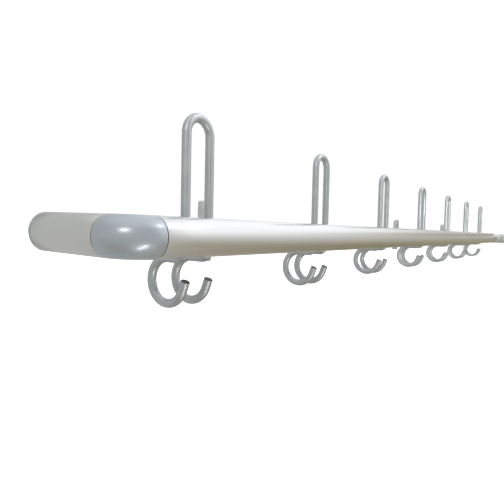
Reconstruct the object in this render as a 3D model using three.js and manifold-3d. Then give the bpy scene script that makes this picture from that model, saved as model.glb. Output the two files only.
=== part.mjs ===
// Wall-mounted coat rail with seven double hooks.
// Units are millimetres. +X runs along the long rail to the right, +Y goes into the
// wall, +Z is up. The long wall's face is the plane Y = 0.
import * as THREE from 'three';
import { mergeVertices } from 'three/addons/utils/BufferGeometryUtils.js';
import Module from 'manifold-3d';

const wasm = await Module();
wasm.setup();

// ---------------------------------------------------------------- dimensions
const GAP = 0.3;            // clearance left between touching pieces

// extruded rail section: half-round front, flat top and bottom, slotted back
const RAIL_H = 36.4;        // overall height
const RAIL_D = 26.2;        // overall depth, front crown to back face
const NOSE = 17.2;          // depth of the rounded front
const WALL_T = 2.2;         // wall thickness of the extrusion
const BACK_T = 2.6;         // thickness of the back lips
const SLOT_W = 10.5;        // width of the slot along the back
const EDGE_R = 1.6;         // round on the two back edges
const NOSE_STEPS = 24;

// layout, measured from the outer corner where the two rail fronts would meet
const WALL_OFF = 135.3;     // front crown of the rail to the wall
const CORNER_R = 42;        // outer corner sweep radius on the front crown
const INNER_R = 14;         // inner corner sweep radius on the front crown
const FIRST_HOOK = 108.3;   // outer corner to first hook
const PITCH = 250;          // hook spacing
const HOOKS = 7;
const INNER_AT = 1800;      // outer corner to inner corner, crown to crown
const SIDE_LEN = 220;       // length of the side rail extrusion
const FOOT_T = 2.7;         // flange of the foot that closes the return on the wall
const CAP_T = 3.0;          // flange of the cap on the side rail's free end
const TONGUE = 22;          // how far corners, foot and cap plug into the extrusions

// one hook: a single bent rod, hat loop above, two coat curls below
const ROD = 9;              // rod diameter
const LEG_GAP = 32;         // centre distance of the two legs
const LEG_AT = 31;          // foot of the legs, behind the front crown
const LEG_LEAN = 1.2;       // degrees the legs lean back toward the wall
const LOOP_TOP = 116;       // top of the loop above the rail's centre line
const CURL_R = 21.9;        // centre-line radius of a curl
const CURL_AT = 53;         // curl centre behind the front crown
const CURL_Z = -42.8;       // curl centre below the rail's centre line
const BEND_R = 8;           // bend from leg to curl
const TIP_CUT = 20;         // degrees before horizontal where the curl straightens
const TIP_LEN = 10;         // straight end of the tip
const ROD_SIDES = 12;

// hook clamp: saddle block, flanged bolt, slot nut
const CLAMP = { w: 51, h: 22, y0: 29.8, y1: 39.6 };
const BOLT_R = 3;
const HOLE_R = 3.35;

// wall bracket: upright plate, arm and front tab, 25 wide
const BRK_W = 21;
const BRK_T = 8;            // plate thickness
const ARM_T = 5.5;          // thickness of the arm and the tab
const BRK_H = 78.5;
const BRK_UP = 3;           // plate centre above the rail's centre line
const BRK_R = 3.5;          // plate corner radius
const ARM_Z = -16;          // underside of the arm below the rail's centre line
const TAB_TOP = 12;
const FIX_SLOT = { w: 6.6, h: 17, up: 29 };
const HEAD_R = 5;           // wall screw head radius
const BRACKETS = [121.7, 875, 1371.7];   // from the first hook
const SIDE_BRACKET = 150;   // side bracket, from the inner corner's crown

// frame: origin on the wall behind the middle bracket's plate
const X0 = FIRST_HOOK + 3.5 * PITCH;
const Y0 = WALL_OFF;
const Z0 = BRK_UP;

// ---------------------------------------------------------------- materials
const mat = (hex, rough, metal) => new THREE.MeshStandardMaterial({ color: hex, roughness: rough, metalness: metal });
const ANODISED = () => mat(0xb9bab6, 0.38, 0.9);
const ROD_MAT = () => mat(0xa3a9ad, 0.4, 0.9);
const CAP_MAT = () => mat(0x8f9aa3, 0.25, 0.0);
const ZINC = () => mat(0x9a9d9f, 0.45, 0.9);
const STEEL = () => mat(0xa9acad, 0.5, 0.8);
const DARK = () => mat(0x3c3f42, 0.6, 0.0);

// ---------------------------------------------------------------- solids
function toSolid(geo) {
  let g = geo.index ? geo.toNonIndexed() : geo.clone();
  g.deleteAttribute('normal');
  g.deleteAttribute('uv');
  g = mergeVertices(g, 1e-4);
  const idx = g.index.array;
  const p = g.attributes.position.array;
  const tri = [];
  for (let i = 0; i < idx.length; i += 3) {
    const [a, b, c] = [idx[i], idx[i + 1], idx[i + 2]];
    if (a !== b && b !== c && a !== c) tri.push(a, b, c);
  }
  return new wasm.Manifold(new wasm.Mesh({ numProp: 3, vertProperties: new Float32Array(p), triVerts: new Uint32Array(tri) }));
}

function toGeo(solid) {
  const m = solid.getMesh();
  const g = new THREE.BufferGeometry();
  const n = m.numProp;
  const src = m.vertProperties;
  const out = new Float32Array((src.length / n) * 3);
  for (let i = 0, k = 0; i < src.length; i += n) {
    out[k++] = src[i]; out[k++] = src[i + 1]; out[k++] = src[i + 2];
  }
  g.setAttribute('position', new THREE.BufferAttribute(out, 3));
  g.setIndex(new THREE.BufferAttribute(new Uint32Array(m.triVerts), 1));
  return g;
}

// turned solid about +Y from (radius, y) pairs, wound so that its faces look outward
function turned(prof, segs) {
  const make = (list) => toSolid(new THREE.LatheGeometry(list.map(([r, y]) => new THREE.Vector2(r, y)), segs));
  const s = make(prof);
  return s.volume() > 0 ? s : make(prof.slice().reverse());
}

const shapeOf = (pts, holes = []) => {
  const s = new THREE.Shape(pts.map(([x, y]) => new THREE.Vector2(x, y)));
  for (const h of holes) s.holes.push(new THREE.Path(h.map(([x, y]) => new THREE.Vector2(x, y))));
  return s;
};

const prism = (pts, depth, holes = []) =>
  new THREE.ExtrudeGeometry(shapeOf(pts, holes), { depth, bevelEnabled: false, steps: 1 });

// axes helpers: a prism is drawn in (u, v) and pulled along its own z
const basis = (ux, uy, uz, o = [0, 0, 0]) => {
  const m = new THREE.Matrix4();
  m.makeBasis(new THREE.Vector3(...ux), new THREE.Vector3(...uy), new THREE.Vector3(...uz));
  m.setPosition(...o);
  return m;
};
// section drawn as (depth, height), pulled along the rail: depth -> +Y, height -> +Z
const ALONG = (x) => basis([0, 1, 0], [0, 0, 1], [1, 0, 0], [x, 0, 0]);
// drawn as (x, height), pulled toward the room: x -> +X, height -> +Z
const OUTWARD = (y) => basis([1, 0, 0], [0, 0, 1], [0, -1, 0], [0, y, 0]);

const arc = (cx, cy, r, a0, a1, n) => {
  const out = [];
  for (let i = 0; i <= n; i++) {
    const a = (a0 + ((a1 - a0) * i) / n) * Math.PI / 180;
    out.push([cx + r * Math.cos(a), cy + r * Math.sin(a)]);
  }
  return out;
};
const circle = (cx, cy, r, n) => arc(cx, cy, r, 0, 360 - 360 / n, n - 1);
const slotPts = (cx, cy, w, h, n = 6) => {
  const r = w / 2;
  const k = h / 2 - r;
  return [...arc(cx, cy + k, r, 0, 180, n), ...arc(cx, cy - k, r, 180, 360, n)];
};
const roundRect = (cx, cy, w, h, r, n = 4) => [
  ...arc(cx + w / 2 - r, cy + h / 2 - r, r, 0, 90, n),
  ...arc(cx - w / 2 + r, cy + h / 2 - r, r, 90, 180, n),
  ...arc(cx - w / 2 + r, cy - h / 2 + r, r, 180, 270, n),
  ...arc(cx + w / 2 - r, cy - h / 2 + r, r, 270, 360, n),
];

// ---------------------------------------------------------------- rail section
// (depth behind the crown, height) with the crown at depth 0
function nose(off, steps = NOSE_STEPS) {
  const a = NOSE - off;
  const b = RAIL_H / 2 - off;
  const out = [];
  for (let i = 0; i <= steps; i++) {
    const t = Math.PI / 2 + (Math.PI * i) / steps;
    out.push([NOSE + a * Math.cos(t), b * Math.sin(t)]);
  }
  return out;
}
const H2 = RAIL_H / 2;
function outline() {            // solid D, no slot
  return [
    ...arc(RAIL_D - EDGE_R, H2 - EDGE_R, EDGE_R, 0, 90, 3),
    ...nose(0),
    ...arc(RAIL_D - EDGE_R, -H2 + EDGE_R, EDGE_R, 270, 360, 3),
  ];
}
function section() {            // hollow, open along the back
  const inB = RAIL_D - BACK_T;
  const inH = H2 - WALL_T;
  const s = SLOT_W / 2;
  return [
    ...outline(),
    [RAIL_D, -s], [inB, -s], [inB, -inH],
    ...nose(WALL_T).reverse(),
    [inB, inH], [inB, s], [RAIL_D, s],
  ];
}
function plug() {               // solid that slides inside the hollow
  const inB = RAIL_D - BACK_T - GAP;
  const off = WALL_T + GAP;
  return [[inB, H2 - off], ...nose(off), [inB, -(H2 - off)]];
}

const group = new THREE.Group();
group.name = 'coat_rail';
const FRAME = new THREE.Matrix4().makeTranslation(-X0, -Y0, -Z0);
function add(name, geo, material) {
  const g = geo.clone();
  g.applyMatrix4(FRAME);
  const nn = g.index ? g.toNonIndexed() : g;
  nn.deleteAttribute('normal');
  nn.deleteAttribute('uv');
  const out = mergeVertices(nn, 1e-4);
  out.computeVertexNormals();
  const m = new THREE.Mesh(out, material);
  m.name = name;
  group.add(m);
  return m;
}

// local (along, depth, height) -> side orientation: depth -> +X, along -> -Y
const SIDE = (x) => basis([0, -1, 0], [1, 0, 0], [0, 0, 1], [x, 0, 0]);

// ---------------------------------------------------------------- extrusions
const MAIN_X0 = CORNER_R + GAP;
const MAIN_X1 = INNER_AT - INNER_R - GAP;
add('main_rail', prism(section(), MAIN_X1 - MAIN_X0).applyMatrix4(ALONG(MAIN_X0)), ANODISED());

const RET_Y0 = CORNER_R + GAP;
const RET_Y1 = WALL_OFF - FOOT_T - GAP;
add('return_rail',
  prism(section(), RET_Y1 - RET_Y0).applyMatrix4(ALONG(-RET_Y1)).applyMatrix4(SIDE(0)), ANODISED());

const SIDE_Y1 = -INNER_R - GAP;
const SIDE_Y0 = SIDE_Y1 - SIDE_LEN;
add('side_rail',
  prism(section(), SIDE_LEN).applyMatrix4(ALONG(-SIDE_Y1)).applyMatrix4(SIDE(INNER_AT)), ANODISED());

// ---------------------------------------------------------------- corners
// ring of the solid section about a vertical axis, one quarter kept
const ring = (profile, segs) => turned([...profile, profile[0]], segs).rotate([90, 0, 0]);
const wedge = (x0, y0, x1, y1) => toSolid(prism([[x0, y0], [x1, y0], [x1, y1], [x0, y1]], 80).translate(0, 0, -40));

{ // outer corner, crown radius CORNER_R about (CORNER_R, CORNER_R)
  const prof = outline().map(([d, z]) => [CORNER_R - d, z]);
  let body = ring(prof, 64);
  body = body.intersect(wedge(-60, -60, 0, 0));
  body = body.translate([CORNER_R, CORNER_R, 0]);
  const t1 = toSolid(prism(plug(), TONGUE + 4).applyMatrix4(ALONG(CORNER_R - 4)));
  const t2 = toSolid(prism(plug(), TONGUE + 4).applyMatrix4(ALONG(-(CORNER_R + TONGUE))).applyMatrix4(SIDE(0)));
  // clip the tongues' roots so they stay within the swept body
  const k1 = t1.intersect(wedge(CORNER_R - 0.5, -60, CORNER_R + 60, 60));
  const k2 = t2.intersect(wedge(-60, CORNER_R - 0.5, 60, CORNER_R + 60));
  add('outer_corner', toGeo(body.add(k1).add(k2)), CAP_MAT());
}
{ // inner corner, crown radius INNER_R about (INNER_AT - INNER_R, -INNER_R)
  const prof = outline().map(([d, z]) => [INNER_R + d, z]);
  let body = ring(prof, 64);
  body = body.intersect(wedge(0, 0, 60, 60));
  body = body.translate([INNER_AT - INNER_R, -INNER_R, 0]);
  const xa = INNER_AT - INNER_R;
  const t1 = toSolid(prism(plug(), TONGUE).applyMatrix4(ALONG(xa - TONGUE)))
    .add(toSolid(prism(plug(), 1).applyMatrix4(ALONG(xa - 0.5))).intersect(wedge(xa - 1, -60, xa + 0.5, 60)));
  const t2 = toSolid(prism(plug(), TONGUE + 0.5).applyMatrix4(ALONG(INNER_R - 0.5)).applyMatrix4(SIDE(INNER_AT)));
  add('inner_corner', toGeo(body.add(t1).add(t2)), ANODISED());
}

// ---------------------------------------------------------------- foot and end cap
const FOOT_SCREW_Z = 0;
{
  const yb = WALL_OFF;
  let foot = toSolid(prism(outline(), FOOT_T).applyMatrix4(ALONG(-yb)).applyMatrix4(SIDE(0)));
  foot = foot.add(toSolid(prism(plug(), TONGUE).applyMatrix4(ALONG(-(yb - FOOT_T) - 0.0)).applyMatrix4(SIDE(0))));
  // pocket from the inside for the screw head, hole through the flange
  const pocket = toSolid(prism(circle(NOSE - 2, FOOT_SCREW_Z, 7, 24), TONGUE + 2 - 1.2).applyMatrix4(ALONG(-(yb - 5.2))).applyMatrix4(SIDE(0)));
  const hole = toSolid(prism(circle(NOSE - 2, FOOT_SCREW_Z, 2.6, 16), 12).applyMatrix4(ALONG(-(yb + 2))).applyMatrix4(SIDE(0)));
  foot = foot.subtract(pocket).subtract(hole);
  add('return_foot', toGeo(foot), CAP_MAT());
}
{
  const yb = SIDE_Y0 - GAP - CAP_T;
  let cap = toSolid(prism(outline(), CAP_T).applyMatrix4(ALONG(-(yb + CAP_T))).applyMatrix4(SIDE(INNER_AT)));
  cap = cap.add(toSolid(prism(plug(), TONGUE).applyMatrix4(ALONG(-(yb + CAP_T) - TONGUE)).applyMatrix4(SIDE(INNER_AT))));
  add('side_end_cap', toGeo(cap), CAP_MAT());
}

// ---------------------------------------------------------------- hooks
// Curve through prepared stations, one ring of the rod per station.
class Stations extends THREE.Curve {
  constructor(pts, tans) { super(); this.pts = pts; this.tans = tans; }
  getPoint(t, target = new THREE.Vector3()) {
    const k = Math.round(t * (this.pts.length - 1));
    return target.copy(this.pts[k]);
  }
  getPointAt(u, target) { return this.getPoint(u, target); }
  getTangentAt(u, target = new THREE.Vector3()) {
    const k = Math.round(u * (this.pts.length - 1));
    return target.copy(this.tans[k]);
  }
  getSpacedPoints() { return this.pts.map((p) => p.clone()); }
}

function hookPath() {
  // right half from tip to the top of the loop, as (y, z, ty, tz) in the plane x = +LEG_GAP/2
  const P = [];
  const T = [];
  const R = Math.PI / 180;
  const x = LEG_GAP / 2;
  const put = (px, py, pz, tx, ty, tz) => { P.push(new THREE.Vector3(px, py, pz)); T.push(new THREE.Vector3(tx, ty, tz).normalize()); };
  // curl angle a: 0 faces the room, 90 is the bottom, 180 the wall side, 270 the top
  const cy = (a) => CURL_AT - CURL_R * Math.cos(a * R);
  const cz = (a) => CURL_Z - CURL_R * Math.sin(a * R);
  const ty = (a) => Math.sin(a * R);
  const tz = (a) => -Math.cos(a * R);
  put(x, cy(TIP_CUT) - TIP_LEN * ty(TIP_CUT), cz(TIP_CUT) - TIP_LEN * tz(TIP_CUT), 0, ty(TIP_CUT), tz(TIP_CUT));
  const N = 14;
  for (let i = 0; i <= N; i++) {
    const a = TIP_CUT + ((270 - TIP_CUT) * i) / N;
    put(x, cy(a), cz(a), 0, ty(a), tz(a));
  }
  const zr = CURL_Z + CURL_R;
  const NB = 4;
  // the bend stops short of upright by the lean
  for (let i = 0; i <= NB; i++) {
    const b = ((90 - LEG_LEAN) * i) / NB;
    put(x, LEG_AT + BEND_R - BEND_R * Math.sin(b * R), zr + BEND_R - BEND_R * Math.cos(b * R), 0, -Math.cos(b * R), Math.sin(b * R));
  }
  const r = LEG_GAP / 2;
  const zu = LOOP_TOP - ROD / 2 - r;
  const NU = 6;
  const yl = P[P.length - 1].y;
  const zl = P[P.length - 1].z;
  const lean = Math.tan(LEG_LEAN * R);
  for (let i = 0; i <= NU; i++) {
    const b = (90 * i) / NU;
    const z = zu + r * Math.sin(b * R);
    put(r * Math.cos(b * R), yl + (z - zl) * lean, z, -Math.sin(b * R), Math.cos(b * R) * lean, Math.cos(b * R));
  }
  // mirror for the left half
  for (let i = P.length - 2; i >= 0; i--) {
    P.push(new THREE.Vector3(-P[i].x, P[i].y, P[i].z));
    T.push(new THREE.Vector3(T[i].x, -T[i].y, -T[i].z));
  }
  return new Stations(P, T);
}
const HOOK_PATH = hookPath();
const rodShape = new THREE.Shape(circle(0, 0, ROD / 2, ROD_SIDES).map(([a, b]) => new THREE.Vector2(a, b)));
const hookGeo = new THREE.ExtrudeGeometry(rodShape, { steps: HOOK_PATH.pts.length - 1, bevelEnabled: false, extrudePath: HOOK_PATH });

// ---------------------------------------------------------------- fasteners
// bolt along +Y (local), head toward the wall, under-head seat at y = seat, tip at y = end
function boltGeo(seat, end) {
  const prof = [[0, end], [BOLT_R - 0.6, end], [BOLT_R, end + 0.6], [BOLT_R, seat], [6.2, seat], [6.2, seat + 1.2], [5.2, seat + 1.6], [0, seat + 1.6]];
  const shank = turned(prof, 16);
  const head = toSolid(new THREE.CylinderGeometry(5.7, 5.7, 4, 6).translate(0, seat + 1.2 + 2.2, 0));
  return toGeo(shank.add(head));
}
function nutGeo() {
  const w = 18, h = 17;
  const body = prism([[-w / 2, -h / 2 + 2], [-w / 2 + 2, -h / 2], [w / 2 - 2, -h / 2], [w / 2, -h / 2 + 2], [w / 2, h / 2 - 2], [w / 2 - 2, h / 2], [-w / 2 + 2, h / 2], [-w / 2, h / 2 - 2]],
    5, [circle(0, 0, HOLE_R, 16)]);
  return body.applyMatrix4(OUTWARD(RAIL_D - BACK_T - GAP));
}
// the legs' centre behind the crown, at the clamp's mid-height
const GRIP_AT = LEG_AT - (CURL_Z + CURL_R + BEND_R) * Math.tan(LEG_LEAN * Math.PI / 180);
function clampGeo() {
  let c = toSolid(prism(roundRect(0, 0, CLAMP.w, CLAMP.h, 3, 4), CLAMP.y1 - CLAMP.y0, [circle(0, 0, HOLE_R, 16)]).applyMatrix4(OUTWARD(CLAMP.y1)));
  for (const s of [-1, 1]) {
    const groove = toSolid(new THREE.CylinderGeometry(ROD / 2 + 0.4, ROD / 2 + 0.4, CLAMP.h + 4, 24).rotateX(Math.PI / 2).translate(s * LEG_GAP / 2, GRIP_AT, 0));
    c = c.subtract(groove);
    // open the groove toward the rail so the block can be pushed over the leg
    const mouth = toSolid(new THREE.BoxGeometry(ROD + 0.8, 8, CLAMP.h + 4).translate(s * LEG_GAP / 2, GRIP_AT - 4, 0));
    c = c.subtract(mouth);
  }
  return toGeo(c);
}
const clamp = clampGeo();
const nut = nutGeo();
const clampBolt = boltGeo(CLAMP.y1 + GAP, 17);
const tabBolt = boltGeo(RAIL_D + GAP + ARM_T + GAP, 17);

for (let i = 0; i < HOOKS; i++) {
  const x = FIRST_HOOK + i * PITCH;
  const n = i + 1;
  add(`hook_${n}`, hookGeo.clone().translate(x, 0, 0), ROD_MAT());
  add(`hook_clamp_${n}`, clamp.clone().translate(x, 0, 0), DARK());
  add(`clamp_bolt_${n}`, clampBolt.clone().translate(x, 0, 0), ZINC());
  add(`clamp_nut_${n}`, nut.clone().translate(x, 0, 0), ZINC());
}

// ---------------------------------------------------------------- wall brackets
function bracketGeo() {
  const yf = RAIL_D + GAP;                 // tab front
  const yp = WALL_OFF - BRK_T;             // plate front
  const zb = ARM_Z, zt = ARM_Z + ARM_T;
  // side view (depth, height): tab, bend, arm, weld fillets at the plate
  const side = [
    [yf, TAB_TOP], ...arc(yf + 6, zb + 6, 6, 180, 270, 5),
    [yp - 3, zb], [yp, zb - 3], [yp + 1, zb - 3], [yp + 1, zt + 3], [yp, zt + 3], [yp - 3, zt],
    ...arc(yf + ARM_T + 1.5, zt + 1.5, 1.5, 270, 180, 3), [yf + ARM_T, TAB_TOP],
  ];
  let arm = toSolid(prism(side, BRK_W).applyMatrix4(ALONG(-BRK_W / 2)));
  const bore = toSolid(new THREE.CylinderGeometry(HOLE_R, HOLE_R, 12, 16).translate(0, yf + ARM_T / 2, 0));
  arm = arm.subtract(bore);
  const plate = toSolid(prism(roundRect(0, BRK_UP, BRK_W, BRK_H, BRK_R, 4), BRK_T,
    [slotPts(0, BRK_UP + FIX_SLOT.up, FIX_SLOT.w, FIX_SLOT.h), slotPts(0, BRK_UP - FIX_SLOT.up, FIX_SLOT.w, FIX_SLOT.h)]).applyMatrix4(OUTWARD(WALL_OFF)));
  return toGeo(arm.add(plate));
}
// pan-head wall screw, head toward the room, cut off just short of the wall face
function screwGeo(z) {
  const r = HEAD_R;
  const yh = WALL_OFF - BRK_T - GAP;       // under the head
  const prof = [[0, yh - 3], [1.3, yh - 2.95], [3.2, yh - 2.5], [4.4, yh - 1.6], [r, yh - 0.7], [r, yh], [2.1, yh], [2.1, WALL_OFF - GAP], [0, WALL_OFF - GAP]];
  let s = turned(prof, 16);
  for (const a of [0, 1]) {
    const bar = new THREE.BoxGeometry(a ? 4.6 : 1.1, 2.4, a ? 1.1 : 4.6).translate(0, yh - 3, 0);
    s = s.subtract(toSolid(bar));
  }
  return toGeo(s.translate([0, 0, z]));
}
const bracket = bracketGeo();
const screwHi = screwGeo(BRK_UP + FIX_SLOT.up);
const screwLo = screwGeo(BRK_UP - FIX_SLOT.up);

const places = BRACKETS.map((k) => new THREE.Matrix4().makeTranslation(FIRST_HOOK + k, 0, 0));
places.push(new THREE.Matrix4().makeTranslation(0, -SIDE_BRACKET, 0).multiply(SIDE(INNER_AT)));
places.forEach((m, i) => {
  const n = i + 1;
  add(`wall_bracket_${n}`, bracket.clone().applyMatrix4(m), STEEL());
  add(`wall_screw_${n}a`, screwHi.clone().applyMatrix4(m), ZINC());
  add(`wall_screw_${n}b`, screwLo.clone().applyMatrix4(m), ZINC());
  add(`bracket_bolt_${n}`, tabBolt.clone().applyMatrix4(m), ZINC());
  add(`bracket_nut_${n}`, nut.clone().applyMatrix4(m), ZINC());
});

// foot screw: same pan head, inside the foot's pocket
{
  const yf = WALL_OFF - 5.2;               // floor of the pocket
  const prof = [[0, WALL_OFF - GAP], [2.1, WALL_OFF - GAP], [2.1, yf - GAP], [4.6, yf - GAP], [4.6, yf - 1.2], [3.2, yf - 2.9], [0, yf - 3.3]];
  const s = turned(prof, 16);
  add('foot_screw', toGeo(s.translate([NOSE - 2, 0, 0])), ZINC());
}

export default group;
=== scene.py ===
import bpy, bmesh, math
import numpy as np
from mathutils import Vector, Matrix, Quaternion


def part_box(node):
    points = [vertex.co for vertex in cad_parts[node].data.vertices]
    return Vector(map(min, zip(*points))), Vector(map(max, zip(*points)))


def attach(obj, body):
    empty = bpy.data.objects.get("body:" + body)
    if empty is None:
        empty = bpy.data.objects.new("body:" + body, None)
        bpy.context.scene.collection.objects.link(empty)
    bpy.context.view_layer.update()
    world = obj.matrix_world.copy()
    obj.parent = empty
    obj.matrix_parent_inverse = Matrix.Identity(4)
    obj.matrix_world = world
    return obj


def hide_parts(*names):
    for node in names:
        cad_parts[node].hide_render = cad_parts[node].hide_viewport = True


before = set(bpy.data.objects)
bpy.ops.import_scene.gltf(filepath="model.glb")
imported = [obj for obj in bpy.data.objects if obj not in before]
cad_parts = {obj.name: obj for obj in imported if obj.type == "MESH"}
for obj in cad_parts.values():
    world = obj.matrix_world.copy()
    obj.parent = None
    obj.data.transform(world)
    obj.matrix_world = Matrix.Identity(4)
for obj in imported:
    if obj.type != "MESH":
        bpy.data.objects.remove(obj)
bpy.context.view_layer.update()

scene = bpy.context.scene

# ---------------------------------------------------------------- frame of reference
# Local millimetres: x from the outer corner's crown, d behind the front crown, z from
# the rail's centre line. All anchored on the CAD nodes.
_ret_lo, _ret_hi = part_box("return_rail")
_main_lo, _main_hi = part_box("main_rail")
_side_lo, _side_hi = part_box("side_rail")
OX, OY, OZ = _ret_lo.x, _main_lo.y, (_main_lo.z + _main_hi.z) / 2
H2 = (_main_hi.z - _main_lo.z) / 2 * 1000          # half height of the section
DEPTH = (_main_hi.y - _main_lo.y) * 1000           # depth of the section
MAIN_X0 = (_main_lo.x - OX) * 1000
MAIN_X1 = (_main_hi.x - OX) * 1000
RET_D0 = (_ret_lo.y - OY) * 1000
RET_D1 = (_ret_hi.y - OY) * 1000
SIDE_X = (_side_lo.x - OX) * 1000                  # crown of the side rail
SIDE_D0 = (_side_lo.y - OY) * 1000
SIDE_D1 = (_side_hi.y - OY) * 1000
WALL_D = -OY * 1000                                # wall plane behind the crown
NOSE, WALL_T, BACK_T, SLOT_W, GAP = 17.2, 2.2, 2.6, 10.5, 0.3
EDGE_R = 1.6
CORNER_R, INNER_R = 42.0, 14.0
TONGUE = 22.0


def P(x, d, z):
    return Vector((OX + x / 1000, OY + d / 1000, OZ + z / 1000))


def along_x(u, d, z):      # section pulled along the long rail
    return P(u, d, z)


def along_ret(u, d, z):    # return rail: depth -> +X, length -> +Y
    return P(d, u, z)


def along_side(u, d, z):   # side rail: depth -> +X from its crown, length -> +Y
    return P(SIDE_X + d, u, z)


# ---------------------------------------------------------------- mesh helpers
def finish_mesh(name, bm, mats, smooth=35.0):
    bmesh.ops.remove_doubles(bm, verts=bm.verts, dist=1e-7)
    bmesh.ops.recalc_face_normals(bm, faces=bm.faces)
    me = bpy.data.meshes.new(name)
    bm.to_mesh(me)
    bm.free()
    for m in mats:
        me.materials.append(m)
    shade(me, smooth)
    ob = bpy.data.objects.new(name, me)
    scene.collection.objects.link(ob)
    return ob


def shade(me, smooth):
    me.polygons.foreach_set("use_smooth", [True] * len(me.polygons))
    me.set_sharp_from_angle(angle=math.radians(smooth))
    me.update()


def keep_flats(me):
    """Faces square to an axis are shaded flat, so the rounds beside them do not bend their light."""
    for f in me.polygons:
        if max(abs(c) for c in f.normal) > 0.99995:
            f.use_smooth = False
    me.update()


def skin(rings, cap0=True, cap1=True, closed=False, bm=None):
    """Quads between equal-length closed loops, with n-gon caps."""
    bm = bm or bmesh.new()
    vs = [[bm.verts.new(p) for p in r] for r in rings]
    n = len(rings[0])
    pairs = list(zip(vs, vs[1:])) + ([(vs[-1], vs[0])] if closed else [])
    for a, b in pairs:
        for i in range(n):
            j = (i + 1) % n
            bm.faces.new((a[i], a[j], b[j], b[i]))
    if not closed:
        if cap0:
            bm.faces.new(list(reversed(vs[0])))
        if cap1:
            bm.faces.new(vs[-1])
    return bm


def arc(cx, cy, r, a0, a1, n):
    return [(cx + r * math.cos(math.radians(a0 + (a1 - a0) * i / n)),
             cy + r * math.sin(math.radians(a0 + (a1 - a0) * i / n))) for i in range(n + 1)]


def d_loop(off=0.0, back=None, nose_n=96, fil_n=6):
    """Closed D outline inset by off, back face at depth back."""
    dn = DEPTH - off if back is None else back
    hn = H2 - off
    r = max(EDGE_R - off, 0.35)
    pts = arc(dn - r, hn - r, r, 0, 90, fil_n)
    for i in range(nose_n + 1):
        t = math.pi / 2 + math.pi * i / nose_n
        pts.append((NOSE + (NOSE - off) * math.cos(t), hn * math.sin(t)))
    pts += arc(dn - r, -hn + r, r, 270, 360, fil_n)
    return pts


PLUG = dict(off=WALL_T + GAP, back=DEPTH - BACK_T - GAP)


def c_section(e=0.0, nose_n=96, fil_n=6):
    """Open hollow section, as (outer path, inner path), both inset by e into the metal."""
    s = SLOT_W / 2 + e
    q, h = 0.5, 0.146
    out = [(DEPTH - e - q, -s), (DEPTH - e - h, -s - h), (DEPTH - e, -s - q)]
    loop = d_loop(e, None, nose_n, fil_n)
    out += list(reversed(loop))
    out += [(DEPTH - e, s + q), (DEPTH - e - h, s + h), (DEPTH - e - q, s)]
    b = DEPTH - BACK_T + e
    off = WALL_T - e
    hn = H2 - off
    inn = [(b + q, -s), (b + h, -s - h), (b, -s - q)]
    r = 0.6
    il = arc(b - r, hn - r, r, 0, 90, fil_n)
    for i in range(nose_n + 1):
        t = math.pi / 2 + math.pi * i / nose_n
        il.append((NOSE + (NOSE - off) * math.cos(t), hn * math.sin(t)))
    il += arc(b - r, -hn + r, r, 270, 360, fil_n)
    inn += list(reversed(il))
    inn += [(b, s + q), (b + h, s + h), (b + q, s)]
    return out, inn


def extrusion(name, place, u0, u1, mats, step=60.0):
    """Slotted hollow D section between u0 and u1, cut ends broken by a small round."""
    bm = bmesh.new()
    e = 0.34
    u0, u1 = u0 + 0.28, u1 - 0.28
    stations = [(u0, e), (u0 + 0.3 * e, 0.3 * e), (u0 + e, 0.0)]
    n = max(1, int(round((u1 - u0) / step)))
    stations += [(u0 + (u1 - u0) * i / n, 0.0) for i in range(1, n)]
    stations += [(u1 - e, 0.0), (u1 - 0.3 * e, 0.3 * e), (u1, e)]
    prev = None
    ends = []
    for u, k in stations:
        out, inn = c_section(k)
        ring = [bm.verts.new(place(u, d, z)) for d, z in out + list(reversed(inn))]
        m = len(ring)
        if prev:
            for i in range(m):
                j = (i + 1) % m
                bm.faces.new((prev[i], prev[j], ring[j], ring[i]))
        prev = ring
        ends.append(ring)
    k = len(ends[0]) // 2
    for ring in (ends[0], ends[-1]):
        o, i_ = ring[:k], list(reversed(ring[k:]))
        for a in range(k - 1):
            bm.faces.new((o[a], o[a + 1], i_[a + 1], i_[a]))
    return finish_mesh(name, bm, mats)


def round_stations(u0, u1, e, n=4):
    """(position, inset) pairs that break both ends of a bar by a quarter round of radius e."""
    a = [(u0 + e * (1 - math.cos(math.pi / 2 * i / n)), e * (1 - math.sin(math.pi / 2 * i / n))) for i in range(n + 1)]
    b = [(u1 - (u - u0), k) for u, k in reversed(a)]
    return a, b


def lathe(prof, origin, axis="y", segs=48, bm=None):
    """Turned solid: (radius, position) pairs about an axis through origin, in local mm."""
    rings = []
    for r, t in prof:
        ring = []
        for i in range(segs):
            a = 2 * math.pi * i / segs
            c, s = r * math.cos(a), r * math.sin(a)
            x, d, z = origin
            ring.append((x + c, d + t, z + s) if axis == "y" else (x + t, d + c, z + s))
        rings.append(ring)
    return skin([[Vector(p) for p in r] for r in rings], bm=bm)


def to_world(ob):
    """Local millimetres to the row frame in metres."""
    ob.data.transform(Matrix.Translation(Vector((OX, OY, OZ))) @ Matrix.Scale(0.001, 4))
    ob.data.update()
    return ob


def evaluated(ob):
    dg = bpy.context.evaluated_depsgraph_get()
    dg.update()
    return bpy.data.meshes.new_from_object(ob.evaluated_get(dg))


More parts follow.
